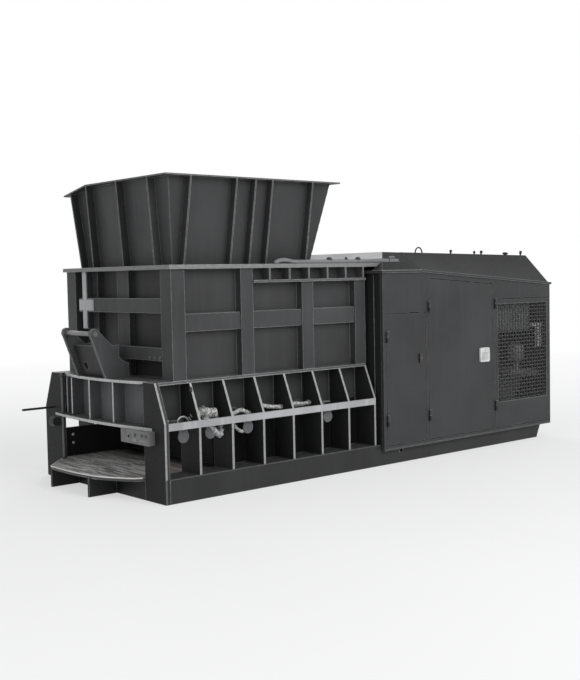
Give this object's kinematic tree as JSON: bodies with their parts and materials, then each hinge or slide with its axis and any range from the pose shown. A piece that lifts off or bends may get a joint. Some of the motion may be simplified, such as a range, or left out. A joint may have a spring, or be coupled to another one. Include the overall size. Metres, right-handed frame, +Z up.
{
  "type": "hydraulic scrap container shear",
  "caption": "Hydraulic scrap shear on a skid, with a ribbed shear frame, discharge head, charging box with flared hopper and an enclosed power pack with hinged doors.",
  "frame": {"origin": "middle of the footprint, on the floor", "axes": "+X from the discharge head to the power pack, +Y to the far side, +Z up"},
  "size_m": [5.074, 1.987, 2.512],
  "materials": {
    "frame_paint": "semi-matt charcoal paint, worn bright at plate edges",
    "dark_paint": "matt near-black paint",
    "door_paint": "semi-matt dark grey paint",
    "cover_paint": "semi-matt dark grey paint",
    "tank_paint": "light grey paint",
    "worn_steel": "scraped and slightly browned plate",
    "knife_steel": "machined steel",
    "mesh_steel": "dull woven wire",
    "latch_metal": "bright satin metal",
    "gauge_plastic": "clear sight glass in a white frame"
  },
  "bodies": {
    "machine": {"skid_rails": "frame_paint", "skid_floor_plate": "frame_paint", "skid_cross_beams": "frame_paint", "side_ribs_near": "frame_paint", "side_ribs_far": "frame_paint", "side_bands": "frame_paint", "bay_top_strips": "frame_paint", "shear_wall_near": "dark_paint", "shear_wall_far": "dark_paint", "press_bed": "dark_paint", "head_cheeks": "frame_paint", "head_sill": "frame_paint", "head_ring_low": "frame_paint", "head_deck": "frame_paint", "head_ring_wall": "frame_paint", "head_ring_ribs": "frame_paint", "discharge_apron": "worn_steel", "apron_feet": "frame_paint", "knife_block": "knife_steel", "pivot_block": "dark_paint", "gauge_rod": "dark_paint", "bracket_cheeks": "frame_paint", "bracket_web": "dark_paint", "bracket_pin": "knife_steel", "box_posts": "frame_paint", "box_bands": "frame_paint", "box_side_walls": "frame_paint", "box_end_wall": "frame_paint", "box_rear_wall": "frame_paint", "deck_flange": "frame_paint", "deck_ledges": "frame_paint", "deck_cover": "cover_paint", "hopper_side_walls": "frame_paint", "hopper_end_walls": "frame_paint", "hopper_lip": "dark_paint", "hopper_ribs": "frame_paint", "pack_near_wall": "door_paint", "pack_far_wall": "door_paint", "pack_end_walls": "door_paint", "pack_eave_sheet": "cover_paint", "pack_hood": "cover_paint", "roof_fittings": "dark_paint", "fixed_hinges": "dark_paint", "oil_tank": "tank_paint", "level_gauge": "gauge_plastic", "pump_motor": "tank_paint"},
    "small_door_leaf": {"small_door": "door_paint", "small_door_latch": "latch_metal"},
    "main_door_leaf": {"main_door": "door_paint", "paddle_latch": "latch_metal"},
    "mesh_door_leaf": {"mesh_door": "door_paint", "mesh_guard": "mesh_steel"}
  },
  "joints": [
    {"name": "small_door_hinge", "type": "hinge", "parent": "machine", "child": "small_door_leaf", "pos_m": [0.103, -0.9835, 0.765], "axis": [0, 0, -1], "range_deg": [0, 110]},
    {"name": "main_door_hinge", "type": "hinge", "parent": "machine", "child": "main_door_leaf", "pos_m": [0.659, -0.9835, 0.9], "axis": [0, 0, -1], "range_deg": [0, 110]},
    {"name": "mesh_door_hinge", "type": "hinge", "parent": "machine", "child": "mesh_door_leaf", "pos_m": [1.623, -0.9835, 0.808], "axis": [0, 0, -1], "range_deg": [0, 105]}
  ]
}
